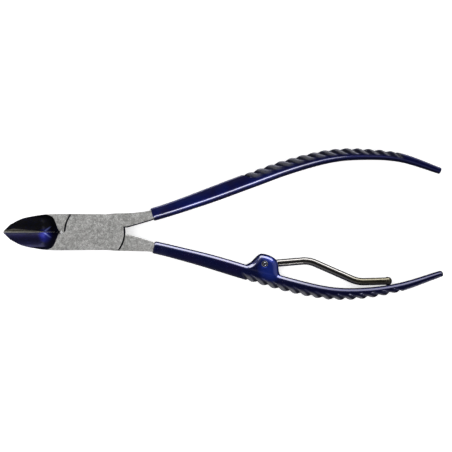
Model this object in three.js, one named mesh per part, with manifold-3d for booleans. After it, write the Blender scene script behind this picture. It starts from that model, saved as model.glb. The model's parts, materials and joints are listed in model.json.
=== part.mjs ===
// Mosaic glass nippers: two forged halves crossing in a lap joint, a flush pivot rivet,
// and a bent spring wire hinged on a pin in a slotted lug on the lower handle.
//
// Millimetres, +Z up. The tool lies on its side with the jaws closed and pointing to -X.
// The origin is on the pivot axis, in the ground lower flat of the head (Z = 0).
// The upper half carries the upper handle (+Y) and the lower jaw (-Y), and its disc is the
// higher one in the lap. The lower half carries the lower handle, the upper jaw and the lug.
import * as THREE from "three";
import { mergeVertices } from "three/addons/utils/BufferGeometryUtils.js";
import Module from "manifold-3d";

const wasm = await Module();
wasm.setup();

// ---- Driving dimensions ------------------------------------------------------------------
const HEAD_THICKNESS = 8.6;
const MID_PLANE = HEAD_THICKNESS / 2;
const TIP_X = -31.3;
const TIP_BLUNTNESS = 0.3; // half height of the closed jaws' blunt tip
const LAP_GAP = 0.16; // between the two lapped discs
const DISC_RADIUS = 10.2;
const SHOULDER_RADIUS = 10.6; // wall that the other half's disc turns inside
const NECK_HEIGHT = 6.05; // where the disc's arcs meet the head's edges
const EDGE_GAP = 0.12; // between the closed cutting edges
const RELIEF_RADIUS = 0.42; // small hole behind the cutting edges

const EDGE_HEIGHT = 2.2; // the cutting edge above the lower flat
const WHEEL_RADIUS = 8; // V-edged wheel that scoops the front bevels
const WHEEL_HALF_WIDTH = 8;
const BEVEL_SLOPE = 0.6; // rise of a front bevel per millimetre away from the edge
const HEEL_X = -11.8; // where the scoop leaves the upper flat, on the centreline
const BACK_BEVEL = 1.6; // half width and height of the notch behind the edges
const BACK_BEVEL_LENGTH = 21;
const TIP_HEIGHT = 5.3; // the jaws' thickness at the tip
const TIP_TAPER_X = -15; // where the jaws start to thin
const SHANK_TAPER_X = 14; // where the shanks start to thin
const SHANK_END_X = 24;
const SHANK_END_DROP = 1.3; // from each flat to the shank's end

const RIVET_RADIUS = 2.5;
const RIVET_HEAD_RADIUS = 3.5;
const RIVET_HEAD_DEPTH = 1.2;
const RIVET_CLENCH = 1;
const RUNNING_CLEARANCE = 0.08;

const RIDGE_PITCH = 3.76;
const RIDGE_COUNT = 14;
const RIDGE_START = 33.6; // along the handle's centreline, from its end in the shank
const RIDGE_HEIGHT = 0.85;
const RIDGE_LEAN = 0.13; // share of a pitch for each millimetre of height

const LUG_WIDTH = 7.2;
const LUG_ROUNDING = 0.7;
const SLOT_WIDTH = 3.1;
const SLOT_CLEARANCE = 0.5; // from the eye to the slot's floor and end wall
const SLOT_TOP_Y = -4;
const SLOT_MOUTH_X = 67;
const PIN = new THREE.Vector2(57.7, -10.8);
const PIN_RADIUS = 0.95;
const PIN_INSET = 0.1; // each end of the pin below the lug's side
const EYE_RADIUS = 2.1;
const WIRE_RADIUS = 1.25;
const WIRE_BEND = 2.2; // length of wire taken up by half a bend
const WIRE_SWING = THREE.MathUtils.degToRad(60.3);
const TOE_RADIUS = 1.45;
const SEAT_CLEARANCE = 0.3; // between the toe and the dimples that it seats in

// ---- Finishes ----------------------------------------------------------------------------
const blueCoat = new THREE.MeshStandardMaterial({ color: 0x171b63, roughness: 0.22, metalness: 0.75 });
const satinSteel = new THREE.MeshStandardMaterial({ color: 0x9b9a97, roughness: 0.5, metalness: 0.9 });
const springSteel = new THREE.MeshStandardMaterial({ color: 0x8c8a88, roughness: 0.18, metalness: 1 });

// ---- Small helpers -------------------------------------------------------------------------
const flat = ([x, y]) => new THREE.Vector2(x, y);
const level = ([x, y]) => new THREE.Vector3(x, y, MID_PLANE);

// A closed geometry as a solid that can be joined and cut.
function solid(geometry) {
  const bare = geometry.index ? geometry.toNonIndexed() : geometry.clone();
  bare.deleteAttribute("normal");
  bare.deleteAttribute("uv");
  const merged = mergeVertices(bare, 1e-4);
  return new wasm.Manifold(
    new wasm.Mesh({
      numProp: 3,
      vertProperties: merged.attributes.position.array,
      triVerts: new Uint32Array(merged.index.array),
    }),
  );
}

// A finished solid as a named mesh.
function mesh(name, piece, material) {
  const { vertProperties, triVerts } = piece.getMesh();
  const geometry = new THREE.BufferGeometry();
  geometry.setAttribute("position", new THREE.BufferAttribute(vertProperties, 3));
  geometry.setIndex(new THREE.BufferAttribute(triVerts, 1));
  geometry.computeVertexNormals();
  const made = new THREE.Mesh(geometry, material);
  made.name = name;
  return made;
}

// An outline in X and Y as a plate, with its rims rounded by an optional amount.
function plate(shape, low, high, curveSegments = 5, rounding = 0) {
  const geometry = new THREE.ExtrudeGeometry(shape, {
    depth: high - low - 2 * rounding,
    bevelEnabled: rounding > 0,
    bevelThickness: rounding,
    bevelSize: rounding,
    bevelOffset: -rounding,
    bevelSegments: 2,
    curveSegments,
  });
  return solid(geometry.translate(0, 0, low + rounding));
}

// An outline in Y and Z as a bar that runs from one X towards -X.
function bar(shape, startX, length) {
  const geometry = new THREE.ExtrudeGeometry(shape, { depth: length, bevelEnabled: false });
  return solid(geometry.rotateX(Math.PI / 2).rotateZ(-Math.PI / 2).translate(startX, 0, 0));
}

// An outline in X and Z as a slab across the whole tool.
function slab(shape) {
  const depth = 80;
  const geometry = new THREE.ExtrudeGeometry(shape, { depth, bevelEnabled: false });
  return solid(geometry.rotateX(Math.PI / 2).translate(0, depth / 2, 0));
}

// A round post standing along Z.
function post({ x, y }, radius, low, high, sides = 32) {
  const geometry = new THREE.CylinderGeometry(radius, radius, high - low, sides);
  return solid(geometry.rotateX(Math.PI / 2).translate(x, y, (low + high) / 2));
}

function ball({ x, y }, radius) {
  return solid(new THREE.SphereGeometry(radius, 16, 10).translate(x, y, MID_PLANE));
}

// ---- Head ----------------------------------------------------------------------------------
// The shanks' edges, from the head outwards and back to the crotch. Both are drawn with +Y out.
const upperShank = {
  outer: [[12, 6.5], [18, 7.15], [SHANK_END_X, 9.1]],
  inner: [[SHANK_END_X, 5.3], [19.2, 3.8], [14.7, 2.6], [11, 1.55]],
};
const lowerShank = {
  outer: [[12, 6.45], [18, 6.65], [SHANK_END_X, 7.9]],
  inner: [[SHANK_END_X, 4.3], [20.2, 3.4], [14.7, 1.85], [11.3, 0.9]],
};

// A half seen from above: its jaw below the axis and its shank above it. The disc's arcs are
// concentric with the pivot, so the halves turn past each other.
function headOutline(shank) {
  const neck = Math.asin(NECK_HEIGHT / DISC_RADIUS);
  const crotch = Math.asin(shank.inner.at(-1)[1] / DISC_RADIUS);
  const edgeY = -EDGE_GAP / 2;
  const shape = new THREE.Shape();
  shape.moveTo(TIP_X, edgeY);
  shape.lineTo(-DISC_RADIUS, edgeY);
  shape.absarc(0, 0, DISC_RADIUS, Math.PI, Math.PI - neck, true);
  shape.splineThru([[-5.5, 5.75], [-2, 5.5], [1.5, 5.8], [6, 6.3]].map(flat));
  shape.splineThru(shank.outer.map(flat));
  for (const [x, y] of shank.inner) shape.lineTo(x, y);
  shape.absarc(0, 0, DISC_RADIUS, crotch, -neck, true);
  shape.lineTo(-12, -6.2);
  shape.splineThru([[-15.3, -6.1], [-19.4, -5.7], [-24.8, -4.6], [-28.9, -2.6]].map(flat));
  shape.lineTo(TIP_X, edgeY - TIP_BLUNTNESS);
  shape.closePath();
  return shape;
}

// The head seen from the side, with its shank end thinned towards the handle.
const headSide = new THREE.Shape([
  [TIP_X - 1, 0],
  [SHANK_TAPER_X, 0],
  [SHANK_END_X, SHANK_END_DROP],
  [SHANK_END_X, HEAD_THICKNESS - SHANK_END_DROP],
  [SHANK_TAPER_X, HEAD_THICKNESS],
  [TIP_X - 1, HEAD_THICKNESS],
].map(flat));

// The front bevels: a V-edged wheel plunges in behind the edges and leaves over the tip.
function frontScoop() {
  const rim = WHEEL_RADIUS - BEVEL_SLOPE * WHEEL_HALF_WIDTH;
  const axisHeight = EDGE_HEIGHT + WHEEL_RADIUS;
  const run = Math.sqrt(WHEEL_RADIUS ** 2 - (axisHeight - HEAD_THICKNESS) ** 2);
  const startX = HEEL_X - run;
  const profile = [
    [0, -WHEEL_HALF_WIDTH],
    [rim, -WHEEL_HALF_WIDTH],
    [WHEEL_RADIUS, 0],
    [rim, WHEEL_HALF_WIDTH],
    [0, WHEEL_HALF_WIDTH],
  ];
  const wheel = solid(new THREE.LatheGeometry(profile.map(flat), 40));
  const flankHeight = EDGE_HEIGHT + BEVEL_SLOPE * WHEEL_HALF_WIDTH;
  const valley = new THREE.Shape([
    [0, EDGE_HEIGHT],
    [WHEEL_HALF_WIDTH, flankHeight],
    [WHEEL_HALF_WIDTH, HEAD_THICKNESS + 1],
    [-WHEEL_HALF_WIDTH, HEAD_THICKNESS + 1],
    [-WHEEL_HALF_WIDTH, flankHeight],
  ].map(flat));
  return wheel.translate(startX, 0, axisHeight).add(bar(valley, startX, startX - TIP_X + 1));
}

function backNotch() {
  const notch = new THREE.Shape([[-BACK_BEVEL, -0.01], [BACK_BEVEL, -0.01], [0, BACK_BEVEL]].map(flat));
  return bar(notch, TIP_X + BACK_BEVEL_LENGTH, BACK_BEVEL_LENGTH + 1);
}

function tipTaper() {
  return slab(new THREE.Shape([
    [TIP_TAPER_X, HEAD_THICKNESS],
    [TIP_X, TIP_HEIGHT],
    [TIP_X - 1, TIP_HEIGHT],
    [TIP_X - 1, HEAD_THICKNESS + 1],
    [TIP_TAPER_X, HEAD_THICKNESS + 1],
  ].map(flat)));
}

// ---- Handles -------------------------------------------------------------------------------
// Centrelines, both drawn with +Y out. The first point of each is inside its shank.
const upperGrip = {
  points: [
    [19.3, 5.85], [26, 7.9], [38, 12.1], [52, 17.3], [66, 22.3], [80, 25.8], [92, 26.4], [104, 25.2],
    [117.5, 20.7],
  ],
  fullness: 1,
};
const lowerGrip = {
  points: [
    [19.8, 5.1], [25, 6.3], [38, 9.7], [52, 13.9], [66, 18], [80, 20.8], [92, 20.7], [104, 18.6],
    [118.2, 13.9],
  ],
  fullness: 0.93,
};

// Half sizes at a share of the length: across the grip in the tool's plane, and along Z.
const ease = THREE.MathUtils.smoothstep;
const halfGirth = (share) => 2.25 + 0.45 * ease(share, 0, 0.28) - 1.9 * ease(share, 0.38, 1.2);
const halfDepth = (share) => 3.1 + 0.5 * ease(share, 0.1, 0.5) - 0.9 * ease(share, 0.7, 1.05);

// Rounded ridges on the outer side. They lean, so each crosses the back of the grip at a slant.
function ridge(along, z) {
  const turns = (along - RIDGE_START) / RIDGE_PITCH - RIDGE_LEAN * z;
  if (turns < 0 || turns > RIDGE_COUNT) return 0;
  return RIDGE_HEIGHT * (Math.sqrt(Math.abs(Math.sin(Math.PI * turns))) - 1);
}

function handle({ points, fullness }) {
  const line = new THREE.CatmullRomCurve3(points.map(level));
  const length = line.getLength();
  const sides = 12;
  const stations = 96;
  const geometry = new THREE.CylinderGeometry(1, 1, 1, sides, stations);
  const place = geometry.attributes.position;
  for (let i = 0; i < place.count; i++) {
    const share = 0.5 - place.getY(i);
    const centre = line.getPointAt(share);
    const tangent = line.getTangentAt(share);
    const side = place.getX(i);
    const z = place.getZ(i) * halfDepth(share);
    const girth = side * fullness * halfGirth(share) + Math.max(0, side) * ridge(share * length, z);
    place.setXYZ(i, centre.x - tangent.y * girth, centre.y + tangent.x * girth, centre.z + z);
  }
  return solid(geometry);
}

// ---- Lug on the lower handle ---------------------------------------------------------------
function lug() {
  const side = new THREE.Shape();
  side.moveTo(50.5, -11.6);
  side.bezierCurveTo(52.5, -11, 54, -8.6, 55.6, -7.6);
  side.bezierCurveTo(57, -6.8, 60.2, -8.2, 61.4, -9.8);
  side.bezierCurveTo(62.4, -11.2, 62, -13.8, 64, -15.6);
  side.lineTo(62, -17.5);
  side.lineTo(52, -14.5);
  side.closePath();
  return plate(side, MID_PLANE - LUG_WIDTH / 2, MID_PLANE + LUG_WIDTH / 2, 6, LUG_ROUNDING);
}

// Room for the wire's eye, open above and towards the handle's end.
function lugSlot() {
  const reach = EYE_RADIUS + SLOT_CLEARANCE;
  const shape = new THREE.Shape();
  shape.moveTo(SLOT_MOUTH_X, SLOT_TOP_Y);
  shape.lineTo(PIN.x - reach, SLOT_TOP_Y);
  shape.absarc(PIN.x, PIN.y, reach, Math.PI, 1.5 * Math.PI, false);
  shape.lineTo(SLOT_MOUTH_X, PIN.y - reach);
  shape.closePath();
  return plate(shape, MID_PLANE - SLOT_WIDTH / 2, MID_PLANE + SLOT_WIDTH / 2);
}

// ---- Spring wire ---------------------------------------------------------------------------
// Parked: out of the eye to the knee, down to the heel, and along the handle to the toe.
const wireStart = level([PIN.x + EYE_RADIUS / 2, PIN.y - 0.05]);
const knee = level([72.7, -9.65]);
const heel = level([89.3, -16.95]);
const toe = level([99.5, -16.65]);

function wireRoute() {
  const route = new THREE.CurvePath();
  let from = wireStart;
  for (const [corner, next] of [[knee, heel], [heel, toe]]) {
    const into = corner.clone().add(from.clone().sub(corner).setLength(WIRE_BEND));
    const out = corner.clone().add(next.clone().sub(corner).setLength(WIRE_BEND));
    route.add(new THREE.LineCurve3(from, into));
    route.add(new THREE.QuadraticBezierCurve3(into, corner, out));
    from = out;
  }
  route.add(new THREE.LineCurve3(from, toe));
  return route;
}

function springWire() {
  const section = new THREE.Shape();
  section.absarc(0, 0, WIRE_RADIUS, 0, 2 * Math.PI, false);
  const rod = new THREE.ExtrudeGeometry(section, {
    steps: 32,
    curveSegments: 6,
    extrudePath: wireRoute(),
  });
  const eye = post(PIN, EYE_RADIUS, MID_PLANE - WIRE_RADIUS, MID_PLANE + WIRE_RADIUS);
  const bore = post(PIN, PIN_RADIUS + RUNNING_CLEARANCE, 0, HEAD_THICKNESS);
  return eye.add(solid(rod)).add(ball(toe, TOE_RADIUS)).subtract(bore);
}

function springPin() {
  const half = LUG_WIDTH / 2 - PIN_INSET;
  return post(PIN, PIN_RADIUS, MID_PLANE - half, MID_PLANE + half);
}

// ---- Pivot rivet ---------------------------------------------------------------------------
// Countersunk at both faces and clenched past them.
function rivet(extra) {
  const shank = RIVET_RADIUS + extra;
  const head = RIVET_HEAD_RADIUS + extra;
  const profile = [
    [0, -RIVET_CLENCH],
    [head, -RIVET_CLENCH],
    [head, 0],
    [shank, RIVET_HEAD_DEPTH],
    [shank, HEAD_THICKNESS - RIVET_HEAD_DEPTH],
    [head, HEAD_THICKNESS],
    [head, HEAD_THICKNESS + RIVET_CLENCH],
    [0, HEAD_THICKNESS + RIVET_CLENCH],
  ];
  return solid(new THREE.LatheGeometry(profile.map(flat), 32).rotateX(Math.PI / 2));
}

// ---- The two halves ------------------------------------------------------------------------
// One forging drawn in the upper half's position: its disc is above the lap's mid plane.
function forging(shank, grip) {
  const underDisc = post({ x: 0, y: 0 }, SHOULDER_RADIUS, -1, MID_PLANE + LAP_GAP / 2, 48);
  return plate(headOutline(shank), 0, HEAD_THICKNESS)
    .intersect(slab(headSide))
    .subtract(underDisc)
    .add(handle(grip));
}

// Turned over about the X axis, a forging takes the lower half's position.
const turnedOver = (half) => half.rotate([180, 0, 0]).translate(0, 0, HEAD_THICKNESS);

const swungToe = flat([toe.x, toe.y]).rotateAround(PIN, WIRE_SWING);
const seatRadius = TOE_RADIUS + SEAT_CLEARANCE;
const relief = post({ x: -DISC_RADIUS - 1, y: 0 }, RELIEF_RADIUS, -1, HEAD_THICKNESS + 1, 12);
const bothHalves = frontScoop().add(backNotch()).add(tipTaper()).add(relief).add(rivet(RUNNING_CLEARANCE));

const upperHalf = forging(upperShank, upperGrip)
  .subtract(bothHalves)
  .subtract(ball(swungToe, seatRadius));

const lowerHalf = turnedOver(forging(lowerShank, lowerGrip))
  .add(lug())
  .subtract(lugSlot())
  .subtract(post(PIN, PIN_RADIUS + RUNNING_CLEARANCE, -1, HEAD_THICKNESS + 1))
  .subtract(bothHalves)
  .subtract(ball(toe, seatRadius));

// The clenched ends are dressed flush with the ground flats.
const dressedRivet = rivet(0).intersect(post({ x: 0, y: 0 }, DISC_RADIUS, 0, HEAD_THICKNESS));

const nippers = new THREE.Group();
nippers.add(mesh("upper_handle_half", upperHalf, blueCoat));
nippers.add(mesh("lower_handle_half", lowerHalf, blueCoat));
nippers.add(mesh("pivot_rivet", dressedRivet, satinSteel));
nippers.add(mesh("spring_wire", springWire(), springSteel));
nippers.add(mesh("spring_pin", springPin(), satinSteel));

export default nippers;
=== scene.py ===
# %% [markdown]
# # Mosaic glass nippers
# A pair of slim nippers: two forged halves that cross in a lap joint, a rivet that they turn on,
# and a bent wire hinged on a pin in a lug on the lower handle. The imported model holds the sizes
# and the joints. This file makes the surfaces that the eye sees and fits them around that model.

# %% Load the fixed frame
import json
import math

import bmesh
import bpy
import numpy as np
from mathutils import Matrix, Vector
from mathutils.geometry import interpolate_bezier


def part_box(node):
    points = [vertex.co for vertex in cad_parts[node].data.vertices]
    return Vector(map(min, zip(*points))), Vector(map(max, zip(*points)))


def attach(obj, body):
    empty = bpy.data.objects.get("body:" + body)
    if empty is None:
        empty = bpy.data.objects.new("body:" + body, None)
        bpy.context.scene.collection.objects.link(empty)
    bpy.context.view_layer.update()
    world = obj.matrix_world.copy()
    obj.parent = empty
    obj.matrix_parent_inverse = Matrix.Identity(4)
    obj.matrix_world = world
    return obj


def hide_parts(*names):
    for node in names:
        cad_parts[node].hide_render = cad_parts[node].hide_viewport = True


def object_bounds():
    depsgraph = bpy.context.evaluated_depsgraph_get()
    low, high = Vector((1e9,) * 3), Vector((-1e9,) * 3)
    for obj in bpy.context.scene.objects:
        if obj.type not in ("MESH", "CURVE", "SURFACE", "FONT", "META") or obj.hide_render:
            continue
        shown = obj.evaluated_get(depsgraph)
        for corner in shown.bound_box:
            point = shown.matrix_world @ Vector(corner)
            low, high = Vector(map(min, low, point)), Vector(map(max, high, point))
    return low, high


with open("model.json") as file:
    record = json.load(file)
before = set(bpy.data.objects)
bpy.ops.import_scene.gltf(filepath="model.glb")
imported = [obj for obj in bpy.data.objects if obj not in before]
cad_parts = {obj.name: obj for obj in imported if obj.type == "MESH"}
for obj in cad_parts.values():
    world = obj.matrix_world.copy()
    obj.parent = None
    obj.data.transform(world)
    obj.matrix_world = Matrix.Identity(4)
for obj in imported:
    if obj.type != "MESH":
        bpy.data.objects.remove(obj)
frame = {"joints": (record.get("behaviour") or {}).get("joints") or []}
cad_box = [list(corner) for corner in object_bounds()]

# %% [markdown]
# ## Places that come from the frame
# Blender works in metres, and a tool like this is drawn in millimetres, so MM turns one into the
# other. The head's thickness, the jaws' tip, the pivot and the pin are read from the packed
# nodes, so the surfaces stay where the joints are even if the model is changed.

# %% Driving places
MM = 0.001
rivet_low, rivet_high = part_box("pivot_rivet")
pin_low, pin_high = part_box("spring_pin")
jaw_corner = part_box("upper_handle_half")[0]
THICK = (rivet_high.z - rivet_low.z) / MM
MID = THICK / 2
TIP_X = jaw_corner.x / MM
PIN = (pin_low + pin_high) / 2 / MM
RIVET_HEAD = (rivet_high.x - rivet_low.x) / 2 / MM
print("head thickness", round(THICK, 2), "mm, pin at", [round(c, 2) for c in PIN])

# %% [markdown]
# ## Smooth lines from a few points
# A forging has no corners along its length. A line of Bezier pieces, each with its handles set
# by the points on either side, passes through every point and bends evenly between them. Even
# steps along it are needed later, so that the rings of a sweep are equally far apart.

# %% Lines and arcs
def through(points, steps=10):
    """A smooth line through a few points in X and Y."""
    knots = [Vector((x, y, 0)) for x, y in points]
    knots = [2 * knots[0] - knots[1], *knots, 2 * knots[-1] - knots[-2]]
    line = []
    for before, start, end, after in zip(knots, knots[1:], knots[2:], knots[3:]):
        leave = start + (end - before) / 6
        arrive = end - (after - start) / 6
        line += interpolate_bezier(start, leave, arrive, end, steps + 1)[:-1]
    return line + [knots[-2]]


def arc(radius, start, end, steps=24, centre=(0, 0)):
    """Points on an arc, with its angles in degrees."""
    turns = np.radians(np.linspace(start, end, steps + 1))
    x, y = centre[0], centre[1]
    return [Vector((x + radius * math.cos(t), y + radius * math.sin(t), 0)) for t in turns]


def distances(line):
    """How far along the line each of its points is."""
    return np.concatenate([[0], np.cumsum(np.linalg.norm(np.diff(line, axis=0), axis=1))])


def station(line, travelled, along, step):
    """The place at a distance along the line, and the way from a step before it to a step after."""
    at, ahead, behind = (np.array([np.interp(along + shift, travelled, line[:, k]) for k in (0, 1)])
                         for shift in (0, step, -step))
    return at, ahead - behind


def ease(value, low, high):
    """0 below low, 1 above high, and a smooth climb between them."""
    t = min(max((value - low) / (high - low), 0), 1)
    return t * t * (3 - 2 * t)


print("an arc of 90 degrees has", len(arc(1, 0, 90)), "points")

# %% [markdown]
# ## From a bmesh to a finished piece
# Each piece is drawn in millimetres, scaled once, and then rides on the body that it moves with.
# Flat faces should look flat and round ones round, so every face is shaded smooth, but an edge
# sharper than a given angle is marked and stays crisp. Modifiers do the joining and cutting, and
# their result becomes the piece's own mesh at once, because the next step works on that mesh.

# %% Finishing and joining helpers
def new_object(bm, name, *materials):
    """The bmesh as an object in metres, at the origin, unturned and unscaled."""
    bmesh.ops.scale(bm, vec=(MM, MM, MM), verts=bm.verts)
    bmesh.ops.recalc_face_normals(bm, faces=bm.faces)
    mesh = bpy.data.meshes.new(name)
    bm.to_mesh(mesh)
    bm.free()
    for material in materials:
        mesh.materials.append(material)
    made = bpy.data.objects.new(name, mesh)
    bpy.context.scene.collection.objects.link(made)
    return made


def bake(piece):
    """Turns the modifiers' result into the piece's own mesh."""
    graph = bpy.context.evaluated_depsgraph_get()
    result = bpy.data.meshes.new_from_object(piece.evaluated_get(graph))
    piece.modifiers.clear()
    piece.data = result


def carve(piece, cutter, operation="DIFFERENCE"):
    """Cuts with, joins or keeps the overlap with another object, which is then removed."""
    step = piece.modifiers.new("carve", "BOOLEAN")
    step.solver = "MANIFOLD"
    step.operation = operation
    step.material_mode = "TRANSFER"
    step.object = cutter
    bake(piece)
    bpy.data.objects.remove(cutter)
    return piece


def fuse(piece, voxel, smoothing):
    """Melts overlapping shapes into one skin with small fillets, as forging does."""
    remesh = piece.modifiers.new("one skin", "REMESH")
    remesh.mode = "VOXEL"
    remesh.voxel_size = voxel * MM
    smooth = piece.modifiers.new("even out", "SMOOTH")
    smooth.factor = 0.5
    smooth.iterations = smoothing
    bake(piece)
    return piece


def finish_piece(piece, body, node=None, sharp=35):
    """Marks sharp edges, rides on a body and hides the imported node that it stands in for."""
    piece.data.shade_smooth()
    piece.data.set_sharp_from_angle(angle=math.radians(sharp))
    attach(piece, body)
    if node:
        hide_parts(node)
    print(piece.name, len(piece.data.polygons), "faces, on", body)
    return piece


# %% [markdown]
# ## Writing a material as sums
# A node tree is easier to read as arithmetic. A Signal is the output of a node, and adding or
# multiplying Signals adds Math nodes. Colours are mixed, never added, because a Math node turns
# a colour grey. Every other node comes from one method.

# %% Shader arithmetic
class Signal:
    """A number or colour that varies over a surface."""

    def __init__(self, recipe, socket):
        self.recipe = recipe
        self.socket = socket

    def _math(self, operation, first, second):
        return self.recipe.node("ShaderNodeMath", {"operation": operation}, {0: first, 1: second})

    def __add__(self, other):
        return self._math("ADD", self, other)

    def __sub__(self, other):
        return self._math("SUBTRACT", self, other)

    def __rsub__(self, other):
        return self._math("SUBTRACT", other, self)

    def __mul__(self, other):
        return self._math("MULTIPLY", self, other)

    __radd__ = __add__
    __rmul__ = __mul__


class Recipe:
    """A node tree under construction, with the shader that it feeds."""

    def __init__(self, owner, shader="Principled BSDF", space="Object", **constants):
        owner.use_nodes = True
        self.owner = owner
        self.tree = owner.node_tree
        self.shader = self.tree.nodes[shader]
        for socket, value in constants.items():
            self.shader.inputs[socket.replace("_", " ")].default_value = value
        self.place = self.node("ShaderNodeTexCoord", {}, {}, space)

    def node(self, kind, settings, inputs, output=0):
        """Adds a node: its settings first, then its sockets' values or links."""
        made = self.tree.nodes.new(kind)
        for name, value in settings.items():
            setattr(made, name, value)
        for socket, value in inputs.items():
            if isinstance(value, Signal):
                self.tree.links.new(value.socket, made.inputs[socket])
            else:
                made.inputs[socket].default_value = value
        return Signal(self, made.outputs[output])

    def noise(self, size, detail=3.0, rough=0.5, stretch=(1, 1, 1)):
        """Soft noise whose blobs are about size millimetres across."""
        spread = self.node("ShaderNodeMapping", {}, {"Vector": self.place, "Scale": stretch})
        sockets = {"Vector": spread, "Scale": 1 / (size * MM), "Detail": detail, "Roughness": rough}
        return self.node("ShaderNodeTexNoise", {}, sockets, "Fac")

    def window(self, value, low, high):
        """0 where value is under low, 1 where it is over high."""
        sockets = {"Value": value, "From Min": low, "From Max": high}
        return self.node("ShaderNodeMapRange", {"interpolation_type": "SMOOTHSTEP"}, sockets, "Result")

    def mix(self, factor, first, second):
        """One colour where factor is 0 and another where it is 1."""
        sockets = {0: factor, 6: first, 7: second}
        return self.node("ShaderNodeMix", {"data_type": "RGBA"}, sockets, 2)

    def spot(self, x, y, inner, outer):
        """1 within inner millimetres of a place, 0 beyond outer."""
        right, up = self.along("X") - x, self.along("Y") - y
        return 1 - self.window(right * right + up * up, inner**2, outer**2)

    def along(self, axis):
        """Object position along X, Y or Z, in millimetres."""
        return self.node("ShaderNodeSeparateXYZ", {}, {0: self.place}, axis) * (1 / MM)

    def bump(self, height, distance, strength=1.0):
        """Small relief, with its height in millimetres."""
        sockets = {"Height": height, "Distance": distance * MM, "Strength": strength}
        return self.node("ShaderNodeBump", {}, sockets, "Normal")

    def feed(self, **links):
        """Links signals to the shader's sockets and returns what the tree belongs to."""
        for socket, signal in links.items():
            self.tree.links.new(signal.socket, self.shader.inputs[socket.replace("_", " ")])
        return self.owner


def new_material(name, **constants):
    """The recipe of an empty material."""
    return Recipe(bpy.data.materials.new(name), **constants)


# %% [markdown]
# ## The blue coat
# The handles carry a deep blue metallic finish under a clear gloss. Paint alone would look flat,
# and a tinted mirror would look like foil. A metallic base with some roughness gives the deep
# glow, and a smooth clear coat over it gives the crisp white highlight. A slow noise shifts the
# blue towards violet, and a fine ripple breaks the highlight as sprayed lacquer does.

# %% Blue coat
def blue_coat(name, deep, violet, metal):
    """The recipe of the coat, and its colour, roughness and ripple before wear."""
    recipe = new_material(name, Metallic=metal, Coat_Roughness=0.07, Coat_IOR=2.0)
    drift = recipe.window(recipe.noise(7, detail=2), 0.38, 0.66)
    fleck = recipe.window(recipe.noise(0.35, detail=2), 0.5, 0.75)
    colour = recipe.mix(drift * 0.8, deep, violet)
    colour = recipe.mix(fleck * 0.15, colour, (0.03, 0.04, 0.25, 1))
    roughness = recipe.noise(1.6) * 0.12 + 0.32
    ripple = recipe.noise(1.1, detail=1) + recipe.noise(0.3, detail=2) * 0.15
    return recipe, colour, roughness, recipe.bump(ripple, 0.012, 0.4)


# %% [markdown]
# ## Worn grip, painted highlights and shade
# Hands polish the gloss off the outer side and leave it dull and grey. On the grip the ridges'
# crests are painted paler as highlights and their grooves darker as painted shade. Where that is
# can't be told from a position alone, because the handles bend, so the mesh carries it in two
# attributes, wear and crest, that the material reads. The gloss is also thinner past the lug, the
# blue is painted darker towards the far end as shade, and a brighter blue on the lug is a painted
# sheen.

# %% Handle finish
def handle_coat(name, deep, far_shade, crest_highlight):
    """The coat with its gloss worn off the outer side and thinner towards the far end, with painted
    highlights on the ridges, painted shade in their grooves and towards the far end, and a painted
    sheen on the lug.
    """
    recipe, colour, roughness, normal = blue_coat(name, deep, (0.012, 0.007, 0.085, 1), 0.82)
    wear = recipe.node("ShaderNodeAttribute", {"attribute_name": "wear"}, {}, "Fac")
    crest = recipe.node("ShaderNodeAttribute", {"attribute_name": "crest"}, {}, "Fac")
    worn = wear * recipe.window(recipe.noise(0.8, detail=3), 0.1, 0.45)
    # Painted highlight and shade: pale on the ridges' crests, near black in their grooves.
    worn_grey_and_painted_light = recipe.mix(recipe.window(crest, 0.35, 1.0), (0.014, 0.014, 0.022, 1), crest_highlight)
    along = recipe.along("X")
    # Painted shade: the blue darkens towards the far end.
    colour = recipe.mix(recipe.window(along, 45, 85) * 0.85, colour, far_shade)
    # Painted sheen: a brighter blue spot on the lug's face.
    painted_lug_sheen = recipe.spot(59.8, -12.2, 1.4, 5.3)
    colour = recipe.mix(painted_lug_sheen * 0.85, colour, (0.014, 0.045, 0.42, 1))
    colour = recipe.mix(worn * 0.92, colour, worn_grey_and_painted_light)
    gloss = 1 - recipe.window(along, 60, 84) * 0.65
    return recipe.feed(Base_Color=colour, Roughness=roughness + worn * 0.16,
                       Coat_Weight=gloss * (1 - worn * 0.93), Normal=normal)


# Both handles wear one coat, in a lit and a shaded copy: the lower handle's blue is painted darker as
# shade, and the pale on its ridges is painted brighter as highlight.
upper_blue = handle_coat("upper_blue", deep=(0.005, 0.015, 0.2, 1), far_shade=(0.003, 0.0045, 0.06, 1),
                         crest_highlight=(0.13, 0.13, 0.145, 1))
lower_blue = handle_coat("lower_blue", deep=(0.003, 0.008, 0.085, 1), far_shade=(0.003, 0.004, 0.04, 1),
                         crest_highlight=(0.24, 0.24, 0.26, 1))

# %% [markdown]
# ## The blades' hollow
# Down in the hollow the blue coat is painted almost black as shade, and blacker still in the upper
# blade as painted shade. A blue glow at the heel and two slanting streaks there are painted
# highlights.

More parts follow.
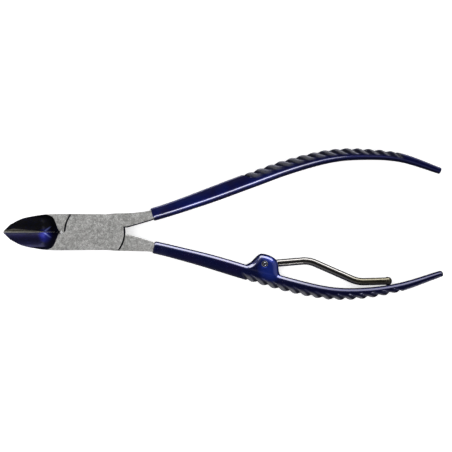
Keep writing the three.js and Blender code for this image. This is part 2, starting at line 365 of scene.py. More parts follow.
# %% Hollow finish
def hollow_coat(name, deep, violet, painted_glow_strength):
    """A blade's hollow painted near black as shade, with a painted glow and two painted highlight
    streaks at its heel.
    """
    recipe, colour, roughness, normal = blue_coat(name, deep, violet, 0.9)
    # Painted highlight: a blue glow round the heel.
    painted_heel_glow = recipe.spot(-16.9, -1.0, 0.6, 2.9) * painted_glow_strength
    # Painted highlight: two slanting streaks at the heel, paler and glossier than the rest.
    aside = recipe.node("ShaderNodeMath", {"operation": "ABSOLUTE"}, {0: recipe.along("Y")})
    off = aside - (recipe.along("X") + 17.5) * 0.8
    ends = recipe.window(aside, 0.1, 0.5) * (1 - recipe.window(aside, 1.2, 2.2))
    painted_tracks = (1 - recipe.window(off * off, 0.02, 0.2)) * ends
    with_painted_highlights = recipe.mix(painted_heel_glow, colour, (0.012, 0.016, 0.2, 1))
    with_painted_highlights = recipe.mix(painted_tracks * 0.5, with_painted_highlights, (0.2, 0.25, 0.65, 1))
    return recipe.feed(Base_Color=with_painted_highlights, Roughness=roughness,
                       Coat_Weight=painted_tracks * 0.12 + 0.03, Normal=normal)


# The near-black blue paints shade into the hollow. hollow_black is a shaded copy of the same coat,
# painted darker still for the blade that lies uppermost in the view.
hollow_blue = hollow_coat("hollow_blue", (0.003, 0.003, 0.015, 1), (0.005, 0.0035, 0.024, 1), 0.8)
hollow_black = hollow_coat("hollow_black", (0.003, 0.003, 0.005, 1), (0.006, 0.0055, 0.004, 1), 0.5)
print("coats:", upper_blue.name, lower_blue.name, hollow_blue.name, hollow_black.name)

# %% [markdown]
# ## Ground steel
# The head was ground flat and blasted after coating, so it is bare, grey and evenly dull, with a
# cloudy mottle where the grit bit differently. Two sizes of noise make the mottle, and a grain
# far finer than a millimetre goes into the bump. The finest lines run across the head.

# %% Ground steel
def ground_steel(name):
    """Blasted steel with a cloudy mottle, a fine grain and faint lines across the head."""
    recipe = new_material(name, Metallic=0.6)
    cloud = recipe.window(recipe.noise(4.5, detail=3), 0.32, 0.68)
    speck = recipe.window(recipe.noise(0.9, detail=3, rough=0.65), 0.36, 0.64)
    grain = recipe.window(recipe.noise(0.3, detail=2), 0.35, 0.65)
    warm = recipe.mix(cloud, (0.34, 0.34, 0.325, 1), (0.47, 0.46, 0.445, 1))
    mottled = recipe.mix(speck * 0.7, warm, (0.72, 0.72, 0.70, 1))
    colour = recipe.mix(grain * 0.6, mottled, (0.17, 0.17, 0.162, 1))
    roughness = speck * 0.12 + cloud * 0.06 + 0.40
    scratches = recipe.noise(0.25, detail=2, stretch=(1, 0.12, 1))
    relief = recipe.noise(0.22, detail=2) + scratches * 0.4
    return recipe.feed(Base_Color=colour, Roughness=roughness, Normal=recipe.bump(relief, 0.012, 0.6))


bare_steel = ground_steel("bare_steel")

# %% [markdown]
# ## Polished wire
# Drawn wire is nearly a mirror, but not quite: drawing leaves faint lines, and handling leaves a
# warm film, most of it on the foot that is touched when the wire is set free. The pin and the
# dressed cutting edges take the same finish in other tones.

# %% Polished steel
def polished_steel(name, shine, film, film_from=84.0):
    """Nearly a mirror, with faint drawing lines and a film from a place along X."""
    recipe = new_material(name, Metallic=1.0)
    foot = recipe.window(recipe.along("X"), film_from, film_from + 7)
    colour = recipe.mix(foot, shine, film)
    smear = recipe.noise(2.5, detail=3)
    roughness = smear * 0.1 + foot * 0.1 + 0.13
    lines = recipe.noise(0.12, detail=1, stretch=(0.05, 1, 1))
    return recipe.feed(Base_Color=colour, Roughness=roughness, Normal=recipe.bump(lines, 0.002, 0.25))


wire_steel = polished_steel("wire_steel", (0.24, 0.23, 0.22, 1), (0.15, 0.138, 0.1, 1))
pin_steel = polished_steel("pin_steel", (0.28, 0.29, 0.33, 1), (0.28, 0.29, 0.33, 1))
edge_steel = polished_steel("edge_steel", (0.85, 0.82, 0.66, 1), (0.14, 0.14, 0.13, 1), -21.0)

# %% [markdown]
# ## Floor
# The tool lies on a light table: a plain pale sheet that glows faintly, which takes its shadows
# away. It could be a lit white plane alone, but the glow is evener. The floor is kept out of the
# reflections, because a bright floor mirrored in every steep edge would wash the outline out.

# %% Floor
FLOOR_SIZE = 8000
FLOOR_DROP = 0.05
floor_recipe = new_material("pale_floor", Roughness=0.7, Specular_IOR_Level=0.1,
                            Emission_Color=(1, 1, 1, 1), Emission_Strength=0.5)
floor_tone = floor_recipe.mix(floor_recipe.noise(60), (0.86, 0.86, 0.86, 1), (0.9, 0.9, 0.9, 1))
floor_paint = floor_recipe.feed(Base_Color=floor_tone)
floor_mesh = bmesh.new()
bmesh.ops.create_grid(floor_mesh, x_segments=2, y_segments=2, size=FLOOR_SIZE)
bmesh.ops.translate(floor_mesh, vec=(0, 0, cad_box[0][2] / MM - FLOOR_DROP), verts=floor_mesh.verts)
floor = new_object(floor_mesh, "floor", floor_paint)
floor.visible_glossy = False

# %% [markdown]
# ## Lights
# Gloss shows its surroundings, so the lights are part of the finish. A tall soft box stands at
# the far side and draws the white band along the wire, the lug and the lower handle. A low strip
# at the near side draws one line along the upper handle. Two small boxes stand beyond the jaws.
# The lamp for the floor hangs overhead and is kept out of the reflections too.

# %% Lights
centre = Vector(((cad_box[0][0] + cad_box[1][0]) / 2, (cad_box[0][1] + cad_box[1][1]) / 2, 0))


def soft_box(name, azimuth, slope, reach, size, power, mirrored=True):
    """A light that faces the tool from a compass angle, tilted from straight above."""
    around, tilt = math.radians(azimuth), math.radians(slope)
    flat = math.sin(tilt)
    away = Vector((flat * math.cos(around), flat * math.sin(around), math.cos(tilt)))
    data = bpy.data.lights.new(name, "AREA")
    data.shape = "RECTANGLE"
    data.size, data.size_y = size
    data.energy = power
    lamp = bpy.data.objects.new(name, data)
    lamp.location = centre + away * reach
    lamp.rotation_euler = away.to_track_quat("Z", "Y").to_euler()
    lamp.visible_glossy = mirrored
    lamp.visible_diffuse = not mirrored
    bpy.context.scene.collection.objects.link(lamp)
    print(name, "at", [round(c, 2) for c in lamp.location])
    return lamp


soft_box("far_box", 90, 71, 1.0, (1.5, 0.62), 15)
soft_box("near_strip", -69, 57, 1.0, (0.34, 0.3), 2.3)
soft_box("left_far", 128, 60, 1.0, (0.2, 0.16), 0.35)
soft_box("left_near", -128, 60, 1.0, (0.2, 0.16), 0.35)
soft_box("floor_lamp", 0, 0, 1.6, (1.6, 1.6), 30, mirrored=False)

# %% [markdown]
# ## Walls round the tool
# What isn't a lamp is reflected as well. It is dark under the horizon, grey on the walls, and
# dark again overhead as under a hood, so the flats stay deep blue. A colour ramp over the height
# is enough for that, and it needs no picture of a room.

# %% World
world = bpy.data.worlds.new("studio")
bpy.context.scene.world = world
bpy.context.scene.view_settings.view_transform = "Standard"
WALLS = [(0.0, 0.02), (0.46, 0.03), (0.52, 0.34), (0.89, 0.26), (0.955, 0.08), (0.985, 0.015)]
walls = Recipe(world, "Background", "Generated")
height = walls.node("ShaderNodeSeparateXYZ", {}, {0: walls.place}, "Z")
tone = walls.node("ShaderNodeValToRGB", {}, {"Fac": height * 0.5 + 0.5}, "Color")
ramp = tone.socket.node.color_ramp
ramp.elements.remove(ramp.elements[1])
for at, grey in WALLS:
    stop = ramp.elements.new(at) if at else ramp.elements[0]
    stop.color = (grey, grey, grey * 1.05, 1)
walls.feed(Color=tone)

# %% [markdown]
# ## Camera
# The camera looks straight down on the flats. A long lens from far away shows both handles
# without perspective to speak of, much as a drawing would.

# %% Camera
VIEW_WIDTH = 153.7 * MM
AIM_X, AIM_Y = 44.5 * MM, 2.07 * MM
lens = bpy.data.cameras.new("camera")
lens.lens = 280
lens.clip_end = 50
camera = bpy.data.objects.new("camera", lens)
camera.location = (AIM_X, AIM_Y, MID * MM + VIEW_WIDTH * lens.lens / lens.sensor_width)
bpy.context.scene.collection.objects.link(camera)
bpy.context.scene.camera = camera
print("camera height", round(camera.location.z, 3), "m")

# %% [markdown]
# ## Handles
# Each handle is a bar with a changing section, bent along a bowed line. It is broadest about
# a third of the way along and slims towards the end. The outer side has rounded ridges for the
# grip. Their grooves lean across the back and run out at a slant over the flat. All of this is a
# handful of sizes and a few short formulas, which are easier to change than a modelled handle.

# %% Lines and sizes
upper_line = [(19.3, 5.85), (26, 7.9), (38, 12.1), (52, 17.3), (66, 22.3), (80, 25.8), (92, 26.4),
              (104, 25.2), (117.5, 20.7)]
lower_line = [(19.8, 5.1), (25, 6.3), (38, 9.7), (52, 13.9), (66, 18), (80, 20.8), (92, 20.7),
              (104, 18.6), (118.2, 13.9)]
UPPER_FULLNESS = 0.985
LOWER_FULLNESS = 0.92
RIDGE_PITCH = 3.76
RIDGE_COUNT = 14
RIDGE_START = 33.6
RIDGE_DEPTH = 1.0
RIDGE_SLANT = 1.25
RIDGE_LEAN = 0.12
CROWN = 0.18
OUTER_ROLL = (0.4, 0.5, 2.0)
BROADEST = 2.6
FLANK = 3.3
SEAT_RADIUS = 1.75
TOE = Vector((99.5, -16.65, PIN.z))
JOINTS = {joint["name"]: joint for joint in frame["joints"]}
WIRE_SWING = JOINTS["spring_wire_swing"]["range_deg"][1]
print("the wire swings", WIRE_SWING, "degrees")


def girth(share):
    """Half the bar's width at a share of its length."""
    return 2.25 + 0.45 * ease(share, 0, 0.28) - 1.9 * ease(share, 0.38, 1.2)


def depth(share):
    """Half the bar's height at a share of its length."""
    shoulder = 1 - ease(share, 0, 0.07)
    return 3.1 + 0.8 * shoulder + 0.5 * ease(share, 0.1, 0.5) - 0.9 * ease(share, 0.7, 1.05)


def ridge_turns(along, inward, front):
    """How many ridges lie before a place, where front runs from -1 to 1 across the back."""
    return (along - RIDGE_START - RIDGE_SLANT * front * inward - RIDGE_LEAN * front) / RIDGE_PITCH


def groove(along, inward, front):
    """Depth of the grip's grooves, in millimetres."""
    turns = ridge_turns(along, inward, front)
    if not 0 < turns < RIDGE_COUNT:
        return 0
    fade = 1 - ease(inward, 0.5, 2.6)
    return RIDGE_DEPTH * fade * (1 - abs(math.sin(math.pi * turns)) ** 0.75)


# %% [markdown]
# ## The bar's section
# The section is boxy on the outer side and round on the inner one, which is why only the inner
# side carries a line of light. A corner between a circle and a square is a superellipse, with its
# power as the only value to choose. The points are spread evenly, so no facet stands out.

# %% Section
def section(wide, tall, inner_roll, sides):
    """Evenly spaced points round the bar: a box with tight outer corners and broad inner ones."""
    corners = []
    for roll_wide, roll_tall, power in (OUTER_ROLL, inner_roll):
        roll_wide, roll_tall = min(roll_wide, wide * 0.95), min(roll_tall, tall * 0.95)
        quarter = np.radians(np.linspace(0, 90, 17))
        away = wide - roll_wide + roll_wide * np.cos(quarter) ** (2 / power)
        corners.append((away, tall - roll_tall + roll_tall * np.sin(quarter) ** (2 / power)))
    (out_y, out_z), (in_y, in_z) = corners
    y, z = np.concatenate([out_y, -in_y[::-1]]), np.concatenate([out_z, in_z[::-1]])
    y = np.concatenate([[wide], y, [-wide], y[::-1], [wide]])
    z = np.concatenate([[0], z, [0], -z[::-1], [0]])
    travelled = np.concatenate([[0], np.cumsum(np.hypot(np.diff(y), np.diff(z)))])
    even = np.linspace(0, travelled[-1], sides, endpoint=False)
    y, z = np.interp(even, travelled, y), np.interp(even, travelled, z)
    return y, z + np.sign(z) * CROWN * (1 - (y / wide) ** 2)


# %% [markdown]
# ## Sweeping the section along the line
# A curve with a bevel would give a plain bar, but not ridges. A cylinder cut into many rings is
# a quick start that can have them: every ring is moved to its place on the line and given its
# section there. The wear is stored on the same mesh afterwards, measured from the same line.

# %% Sweep
def ringed_bar(sides, rings):
    """An upright cylinder from -1 to 1, cut into rings that can be moved one by one."""
    bm = bmesh.new()
    bmesh.ops.create_cone(bm, cap_ends=True, segments=sides, radius1=1, radius2=1, depth=2)
    long_edges = [e for e in bm.edges if abs(e.verts[0].co.z - e.verts[1].co.z) > 1]
    bmesh.ops.subdivide_edges(bm, edges=long_edges, cuts=rings)
    return bm


def handle(points, fullness, inner_roll, rounding, bite, sides=96, rings=420):
    """A ridged bar along a line, drawn in the upper handle's position."""
    line = np.array(through(points, 40))
    travelled = distances(line)
    length = travelled[-1]
    bm = ringed_bar(sides, rings)
    levels = {}
    for vert in bm.verts:
        levels.setdefault(round((vert.co.z + 1) / 2 * (rings + 1)), []).append(vert)
    for level, ring in levels.items():
        share = level / (rings + 1)
        along = share * length
        at, way = station(line, travelled, along, 0.3)
        tangent = way / np.linalg.norm(way)
        end = min(along, length - along)
        soft = rounding[0] if along < length / 2 else rounding[1]
        trim = soft - math.sqrt(max(0, soft**2 - max(0, soft - end) ** 2))
        wide, tall = fullness * girth(share) - trim, depth(share) - trim - CROWN
        round_y, round_z = section(wide, tall, inner_roll, sides)
        for vert in ring:
            side = round(math.atan2(vert.co.y, vert.co.x) / math.tau * sides) % sides
            y, z = round_y[side], round_z[side]
            if y > 0:
                cut = bite * groove(along, wide - y, z / tall)
                lean = min(1, abs(z) / tall) ** 3
                y, z = y - cut * (1 - 0.5 * lean), z - math.copysign(cut * 0.5 * lean, z)
            vert.co = (at[0] - tangent[1] * y, at[1] + tangent[0] * y, MID + z)
    print("handle length", round(length, 1), "mm")
    return bm


def mark_wear(piece, points, fullness, sign, start):
    """Stores how worn each point is, from start outwards, and how near a ridge's crest."""
    line = np.array(through(points, 40))[:, :2] * (1, sign)
    ahead = np.gradient(line, axis=0)
    out = np.stack([-ahead[:, 1], ahead[:, 0]], 1) * sign / np.linalg.norm(ahead, axis=1)[:, None]
    spots = np.empty(len(piece.data.vertices) * 3)
    piece.data.vertices.foreach_get("co", spots)
    spots = spots.reshape(-1, 3) / MM
    nearest = np.concatenate([((part[:, None, :2] - line[None]) ** 2).sum(2).argmin(1)
                              for part in np.array_split(spots, 40)])
    offset = ((spots[:, :2] - line[nearest]) * out[nearest]).sum(1) / (fullness * BROADEST)
    front = np.clip(sign * (spots[:, 2] - MID) / FLANK, -1, 1)
    turns = ridge_turns(distances(line)[nearest], (1 - offset) * fullness * BROADEST, front)
    ridged = (turns > 0) & (turns < RIDGE_COUNT)
    # Nearness to a ridge's crest, which the coat turns into painted highlights on the crests and
    # painted shade in the grooves.
    crest = np.where(ridged, np.abs(np.sin(math.pi * turns)), 0.3)
    on_grip, off_grip = (offset - start) / 0.4, (offset - 0.1) / 0.8
    amount = np.where(ridged, np.clip(on_grip, 0, 1), np.clip(off_grip, 0, 1) * 0.75)
    for name, values in (("wear", amount), ("crest", crest)):
        piece.data.attributes.new(name, "FLOAT", "POINT").data.foreach_set("value", values)
    print(piece.name, "worn points:", int((amount > 0.5).sum()))


def turn_over(bm):
    """The same forging turned about the X axis takes the lower half's place."""
    flip = Matrix.Rotation(math.pi, 3, "X")
    bmesh.ops.rotate(bm, cent=(0, 0, MID), matrix=flip, verts=bm.verts)
    return bm


upper_bar = handle(upper_line, UPPER_FULLNESS, (2.35, 2.9, 2.0), (0.6, 0.35), 1.0)
upper_handle = new_object(upper_bar, "upper_handle", upper_blue)
lower_bar = turn_over(handle(lower_line, LOWER_FULLNESS, (1.25, 0.95, 1.4), (0.6, 0.7), 1.4))
lower_handle = new_object(lower_bar, "lower_handle", lower_blue)

# %% [markdown]
# ## Lug
# The lug is a rounded ear on the lower handle, split by a slot for the wire's eye. Its outline is
# extruded, and its rims are rolled over with a wide bevel, because they carry the brightest
# highlight on the tool. The ear gets a little thinner below the pin. Overlapped with the handle
# and melted together by a voxel remesh, it gains the small fillet that a forging has. Slot and
# bore are cut afterwards, so they stay crisp. So are the two shallow seats where the wire's bead
# settles, one in each handle. The second one's place is the bead's own, turned about the pin
# through the whole swing.

# %% Lug
LUG_WIDTH = (pin_high.z - pin_low.z) / MM + 0.2
LUG_ROLL = 2.5
LUG_SINK = 0.5
LUG_FACE = 3.6
LUG_VOXEL = 0.2
HANDLE_VOXEL = 0.18
SLOT_WIDTH = 3.1
SLOT_REACH = 2.6
PIN_RADIUS = (pin_high.x - pin_low.x) / 2 / MM
PIN_PLAY = 0.12
SINK_FLARE = 0.6
SINK_DEPTH = 0.7
lug_crest = through([(48.4, -11.9), (51.0, -11.15), (52.9, -10.2), (54.5, -8.6), (56.0, -7.35),
                     (57.7, -7.4), (59.7, -8.05), (61.4, -9.2), (62.3, -10.8), (62.45, -12.7),
                     (62.8, -14.4), (64.2, -15.7), (67.0, -16.9)], 5)


def slab(outline, low, high):
    """A plate with that outline."""
    bm = bmesh.new()
    face = bm.faces.new([bm.verts.new((p[0], p[1], low)) for p in outline])
    raised = bmesh.ops.extrude_face_region(bm, geom=[face])["geom"]
    lifted = [v for v in raised if isinstance(v, bmesh.types.BMVert)]
    bmesh.ops.translate(bm, vec=(0, 0, high - low), verts=lifted)
    bmesh.ops.recalc_face_normals(bm, faces=bm.faces)
    return bm


def level_edges(bm):
    """The edges that lie flat."""
    return [e for e in bm.edges if abs(e.verts[0].co.z - e.verts[1].co.z) < 1e-6]


def roll_rims(bm, roll, segments, chosen, clamp=True):
    """Rolls over the rims of the flats whose points are chosen by their place."""
    rims = [e for e in level_edges(bm)
            if e.calc_face_angle(0) > 1 and all(chosen(v.co) for v in e.verts)]
    bmesh.ops.bevel(bm, geom=rims, offset=roll, affect="EDGES", segments=segments, profile=0.5,
                    material=-1, clamp_overlap=clamp)


def rod(radius, low, high, centre=(0, 0), sides=64):
    """A round bar standing along Z."""
    bm = bmesh.new()
    bmesh.ops.create_cone(bm, cap_ends=True, segments=sides, radius1=radius, radius2=radius,
                          depth=high - low)
    bmesh.ops.translate(bm, vec=(centre[0], centre[1], (low + high) / 2), verts=bm.verts)
    return bm


def above_root(co):
    """True above the slanting line where the lug leaves the handle."""
    return co.y > -0.38 * (co.x - 52) - 13.6


lug_outline = lug_crest + [Vector((63.5, -18.3, 0)), Vector((52, -14.8, 0))]
lug_bar = slab(lug_outline, MID - LUG_WIDTH / 2, MID + LUG_WIDTH / 2)
roll_rims(lug_bar, LUG_ROLL, 8, above_root, clamp=False)
lug = fuse(new_object(lug_bar, "lug", lower_blue), LUG_VOXEL, 3)
for vert in lug.data.vertices:
    under = PIN.y - vert.co.y / MM - 0.3 * (vert.co.x / MM - PIN.x)
    sunk = LUG_SINK / LUG_FACE * ease(under, 2.4, 5.0)
    vert.co.z = MID * MM + (vert.co.z - MID * MM) * (1 - sunk)


def merge(piece, other):
    """Puts two meshes in one object, overlapping, ready to be melted together."""
    bm = bmesh.new()
    for source in (piece, other):
        bm.from_mesh(source.data)
    bm.to_mesh(piece.data)
    bm.free()
    bpy.data.objects.remove(other)


merge(lower_handle, lug)
fuse(lower_handle, HANDLE_VOXEL, 5)

slot_outline = [Vector((67, -4, 0)), Vector((PIN.x - SLOT_REACH, -4, 0))]
slot_outline += arc(SLOT_REACH, 180, 270, 16, PIN)
slot_outline += [Vector((67, PIN.y - SLOT_REACH, 0))]
slot = slab(slot_outline, MID - SLOT_WIDTH / 2, MID + SLOT_WIDTH / 2)
carve(lower_handle, new_object(slot, "slot", lower_blue))
bore = rod(PIN_RADIUS + PIN_PLAY, -1, THICK + 1, PIN)
carve(lower_handle, new_object(bore, "bore", lower_blue))
for side in (-1, 1):
    sink = bmesh.new()
    bmesh.ops.create_cone(sink, cap_ends=True, segments=48, radius1=PIN_RADIUS,
                          radius2=PIN_RADIUS + SINK_FLARE, depth=SINK_DEPTH)
    if side < 0:
        bmesh.ops.rotate(sink, matrix=Matrix.Rotation(math.pi, 3, "X"), verts=sink.verts)
    level = MID + side * (LUG_WIDTH / 2 + 0.02)
    bmesh.ops.translate(sink, vec=(PIN.x, PIN.y, level), verts=sink.verts)
    carve(lower_handle, new_object(sink, "countersink", lower_blue))


def toe_seat(handle_piece, at):
    """A round dimple that the wire's bead settles in."""
    ball = bmesh.new()
    bmesh.ops.create_uvsphere(ball, u_segments=48, v_segments=32, radius=SEAT_RADIUS)
    bmesh.ops.translate(ball, vec=(at.x, at.y, MID), verts=ball.verts)
    carve(handle_piece, new_object(ball, "seat_ball", handle_piece.data.materials[0]))


toe_seat(lower_handle, TOE)
swing = Matrix.Rotation(math.radians(WIRE_SWING), 3, "Z")
toe_seat(upper_handle, PIN + swing @ (TOE - PIN))
mark_wear(lower_handle, lower_line, LOWER_FULLNESS, -1, 0.15)
mark_wear(upper_handle, upper_line, UPPER_FULLNESS, 1, -0.15)
finish_piece(lower_handle, "lower_half", "lower_handle_half")
finish_piece(upper_handle, "upper_half", "upper_handle_half")

# %% [markdown]
# ## Heads
# Seen from above, a head is its jaw, half of a round lap joint and a shank. The outline is drawn
# once with arcs about the pivot, extruded, and its rims softened, most of all along the seams
# between the halves. The other half's disc is then cut away to half the thickness, and the same
# outline turned over makes the other head.

# %% Head blank
DISC = 10.2
SHOULDER = 10.42
LAP_GAP = 0.16
EDGE_GAP = 0.12
NECK = math.degrees(math.asin(6.05 / DISC))
SHANK_TAPER = (14, 24, 1.3)
SEAM_ROLL = 0.42
RIM_ROLL = 0.25
upper_shank = {"outer": [(12, 6.5), (17, 7.0), (19.2, 7.5), (20.6, 7.7)],
               "inner": [(20.6, 4.6), (19.2, 3.95), (14.7, 2.6), (11, 1.55)]}
lower_shank = {"outer": [(12, 6.45), (17, 6.55), (19.2, 6.7), (20.6, 6.8)],
               "inner": [(20.6, 4.0), (19.4, 3.35), (14.7, 1.85), (11.3, 0.9)]}


def head_outline(shank):
    """A head in the upper half's position: jaw below the axis and shank above it."""
    crotch = math.degrees(math.asin(shank["inner"][-1][1] / DISC))
    outline = [Vector((TIP_X, -EDGE_GAP / 2, 0))]
    outline += arc(DISC, 180, 180 - NECK, 14)
    outline += through([(-5.5, 5.75), (-2, 5.5), (1.5, 5.8), (6, 6.3), *shank["outer"]], 6)
    outline += [Vector((x, y, 0)) for x, y in shank["inner"]]
    outline += arc(DISC, crotch, -NECK, 20)
    outline += through([(-12, -6.2), (-15.3, -6.1), (-19.4, -5.7), (-24.8, -4.6), (-28.9, -2.6)], 6)
    outline += [Vector((TIP_X, -EDGE_GAP / 2 - 0.3, 0))]
    return outline


def on_seam(co):
    """The disc's rim on both sides and the shank's inner side, in the upper half's position."""
    left = co.x < -8 and co.y > -0.01 and abs(math.hypot(co.x, co.y) - DISC) < 0.01
    return left or (co.x > 8 and -6.1 < co.y < 5.4)


def head(name, shank, flipped):
    """One head without its hollow: the blank, less the disc of the other half."""
    blank = slab(head_outline(shank), 0, THICK)
    roll_rims(blank, SEAM_ROLL, 3, on_seam)
    roll_rims(blank, RIM_ROLL, 2, lambda co: not on_seam(co))
    start, end, drop = SHANK_TAPER
    bmesh.ops.bisect_plane(blank, geom=[*blank.verts, *blank.edges, *blank.faces],
                           plane_co=(start, 0, 0), plane_no=(1, 0, 0))
    for vert in blank.verts:
        thinner = drop * max(0, vert.co.x - start) / (end - start)
        vert.co.z = MID + (vert.co.z - MID) * (1 - thinner / MID)
    if flipped:
        turn_over(blank)
    made = new_object(blank, name, bare_steel, hollow_blue)
    low, high = (MID - LAP_GAP / 2, THICK + 1) if flipped else (-1, MID + LAP_GAP / 2)
    disc = rod(SHOULDER, low, high, sides=128)
    other_disc = new_object(disc, "other_disc", hollow_blue, bare_steel)
    for face in other_disc.data.polygons:
        face.material_index = 1 if abs(face.normal.z) > 0.9 else 0
    return carve(made, other_disc)


upper_head = head("upper_head", upper_shank, False)
lower_head = head("lower_head", lower_shank, True)

# %% [markdown]
# ## Blade hollows
# A shaped wheel scoops both jaws at once: it plunges in behind the edges and leaves over the tip.
# Spinning the wheel's profile about its axle gives the round heel of the hollow, and the same
# profile pushed out in a straight line gives the rest. The cutter carries the near-black coat as
# painted shade, and the boolean hands it on to the faces that it cuts. A wedge in bright steel then
# dresses each cutting edge, and the walls round the crotch and the lap's rim get the near-black
# coat too, as painted shade.

# %% Scoop
EDGE_HEIGHT = 2.2
HEEL_X = -11.8
RELIEF_AT = (-11.5, -0.05)
RELIEF_RADIUS = 0.6
SEAT_PLAY = 0.03
wheel_profile = [(0, 8), (1.6, 7.2), (3.4, 6.55), (4.8, 5.85), (5.5, 5.0), (6.2, 3.2), (7.0, 0.8)]
AXLE_Z = EDGE_HEIGHT + wheel_profile[0][1]
AXLE_X = HEEL_X - math.sqrt(wheel_profile[0][1] ** 2 - (AXLE_Z - THICK) ** 2)


def wheel_edge():
    """The wheel's rim from one side to the other: Y across, and its radius."""
    side = through(wheel_profile, 5)
    return [Vector((-p.x, p.y, 0)) for p in reversed(side[1:])] + side


def half_wheel(x):
    """The wheel's lower half as one upright face, and the bmesh that holds it."""
    bm = bmesh.new()
    rim = [bm.verts.new((x, p.x, AXLE_Z - p.y)) for p in wheel_edge()]
    hub = [bm.verts.new((x, rim[i].co.y, AXLE_Z)) for i in (-1, 0)]
    return bm, bm.faces.new([*rim, *hub])


def scoop():
    """What the wheel takes away as it plunges in: the heel of the hollow."""
    bm, face = half_wheel(AXLE_X)
    bmesh.ops.spin(bm, geom=[face, *face.edges, *face.verts], cent=(AXLE_X, 0, AXLE_Z),
                   axis=(0, -1, 0), dvec=(0, 0, 0), angle=math.radians(100), steps=40,
                   use_merge=False, use_normal_flip=False)
    return bm


def valley():
    """What the wheel takes away on its straight way out over the tip."""
    bm, face = half_wheel(AXLE_X + 0.01)
    moved = bmesh.ops.extrude_face_region(bm, geom=[face])["geom"]
    far_shade = [v for v in moved if isinstance(v, bmesh.types.BMVert)]
    bmesh.ops.translate(bm, vec=(TIP_X - AXLE_X - 2, 0, 0), verts=far_shade)
    return bm


def edge_stripe(width, side):
    """A wedge that takes the hollow's lowest corner off, as a dressing stone does."""
    bm = bmesh.new()
    for along, size in ((-1, 0.3), (3.6, 1), (14, 0.25)):
        for y, z in ((-0.3, -0.7), (width, 0.5 * width), (-0.3, 2.3)):
            bm.verts.new((TIP_X + along, side * y * size, EDGE_HEIGHT + z * size))
    bmesh.ops.convex_hull(bm, input=bm.verts)
    return bm


def darken_crotch_and_lap(part, side, least):
    """Paints the walls round the crotch and the lap's rim with the near-black coat, as shade."""
    shade_slot = part.data.materials.find(hollow_blue.name)
    for face in part.data.polygons:
        x, y, z = face.center / MM
        inside = x > 9.0 and face.normal.y * side < -0.15 and abs(face.normal.z) < least
        lap = abs(math.hypot(x, y) - DISC + 0.1) < 0.34 and abs(face.normal.z) < 0.985
        # Painted shade: the walls round the crotch and the lap's rolled rim take the near-black coat.
        if inside or lap:
            face.material_index = shade_slot


# Each cutter carries its near-black coat, painted shade, onto the hollow that it cuts.
EDGES = ((upper_head, 0.3, -1, hollow_blue), (lower_head, 1.15, 1, hollow_black))
for part, width, side, hollow_shade in EDGES:
    carve(part, new_object(scoop(), "scoop", hollow_shade))
    carve(part, new_object(valley(), "valley", hollow_shade))
    carve(part, new_object(edge_stripe(width, side), "stripe", edge_steel))
    relief = rod(RELIEF_RADIUS, -1, THICK + 1, RELIEF_AT, 32)
    carve(part, new_object(relief, "relief", bare_steel))
    rivet_seat = rod(RIVET_HEAD + SEAT_PLAY, -1, THICK + 1)
    carve(part, new_object(rivet_seat, "rivet_seat", bare_steel))
darken_crotch_and_lap(upper_head, 1, 0.97)
darken_crotch_and_lap(lower_head, -1, 0.5)
finish_piece(upper_head, "upper_half", sharp=25)
finish_piece(lower_head, "lower_half", sharp=25)

# %% [markdown]
# ## Pivot rivet
# The rivet is clenched and then dressed flush, so only a hairline shows where it ends. It is a
# plain short bar with barely softened rims, cut from the same steel.

# %% Rivet
rivet = rod(RIVET_HEAD, 0, THICK, sides=96)
bmesh.ops.bevel(rivet, geom=level_edges(rivet), offset=0.03, affect="EDGES", segments=2,
                profile=0.5, material=-1)
finish_piece(new_object(rivet, "rivet", bare_steel), "lower_half", "pivot_rivet")

# %% [markdown]
# ## Spring wire
# One round wire, bent twice and ended in a bead. A ring is swept along the route with the same
# cylinder trick as the handles. The rings near the end swell into the bead and close over it. A
# short drum joined on at the other end and bored through is the eye.

# %% Wire
WIRE_RADIUS = 1.25
BEAD_RADIUS = 1.45
BEND = 2.2
EYE_RADIUS = 2.1
EYE_PLAY = 0.08
wire_corners = [Vector((PIN.x + 1.0, PIN.y - 0.05, 0)), Vector((72.7, -9.65, 0)),
                Vector((89.3, -16.95, 0)), Vector((TOE.x, TOE.y, 0))]


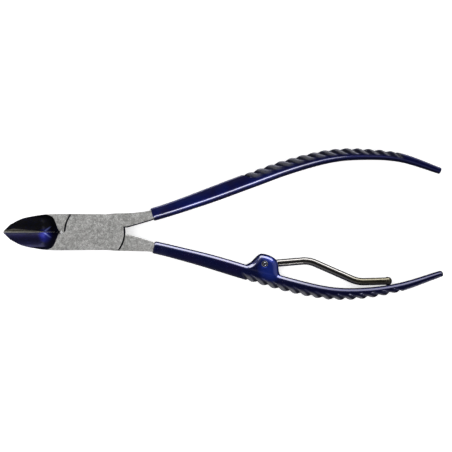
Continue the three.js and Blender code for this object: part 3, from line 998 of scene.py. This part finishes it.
def wire_route():
    """The wire's middle line: straight runs with a round bend at each corner."""
    line = [wire_corners[0]]
    for before, corner, after in zip(wire_corners, wire_corners[1:], wire_corners[2:]):
        enter = corner + (before - corner).normalized() * BEND
        leave = corner + (after - corner).normalized() * BEND
        line += interpolate_bezier(enter, enter.lerp(corner, 0.6), leave.lerp(corner, 0.6), leave, 16)
    return line + [wire_corners[-1]]


def wire(sides=40, rings=300):
    """A round bar along the route, with a bead at its end."""
    line = np.array(wire_route())
    travelled = distances(line)
    length = travelled[-1]
    full = length + BEAD_RADIUS
    bm = ringed_bar(sides, rings)
    for vert in bm.verts:
        along = (vert.co.z + 1) / 2 * full
        at, way = station(line, travelled, along, 0.2)
        tangent = way / np.linalg.norm(way) if along < length - 0.3 else np.array([1.0, 0.03])
        off = along - length
        at = at + tangent * max(0, off)
        radius = WIRE_RADIUS
        if off > -BEAD_RADIUS:
            bead = math.sqrt(max(1e-6, BEAD_RADIUS**2 - off**2))
            radius = bead if off > 0 else max(WIRE_RADIUS, bead)
        angle = math.atan2(vert.co.y, vert.co.x)
        side, up = radius * math.cos(angle), radius * math.sin(angle)
        vert.co = (at[0] - tangent[1] * side, at[1] + tangent[0] * side, MID + up)
    return bm


wire_piece = new_object(wire(), "wire", wire_steel)
eye = rod(EYE_RADIUS, MID - WIRE_RADIUS, MID + WIRE_RADIUS, PIN)
carve(wire_piece, new_object(eye, "eye", wire_steel), "UNION")
eye_bore = rod(PIN_RADIUS + EYE_PLAY, 0, THICK, PIN)
carve(wire_piece, new_object(eye_bore, "eye_bore", wire_steel))
finish_piece(wire_piece, "wire", "spring_wire")

# %% [markdown]
# ## Lug pin
# A short cross pin with domed ends, a little below the lug's face, so a dark ring shows round it.

# %% Pin
pin = rod(PIN_RADIUS, pin_low.z / MM, pin_high.z / MM, PIN, 48)
bmesh.ops.bevel(pin, geom=level_edges(pin), offset=0.8, affect="EDGES", segments=5, profile=0.5,
                material=-1)
finish_piece(new_object(pin, "pin", pin_steel), "lower_half", "spring_pin")

# %% [markdown]
# ## The end
# The view layer is brought up to date once more.

# %% The end
bpy.context.view_layer.update()
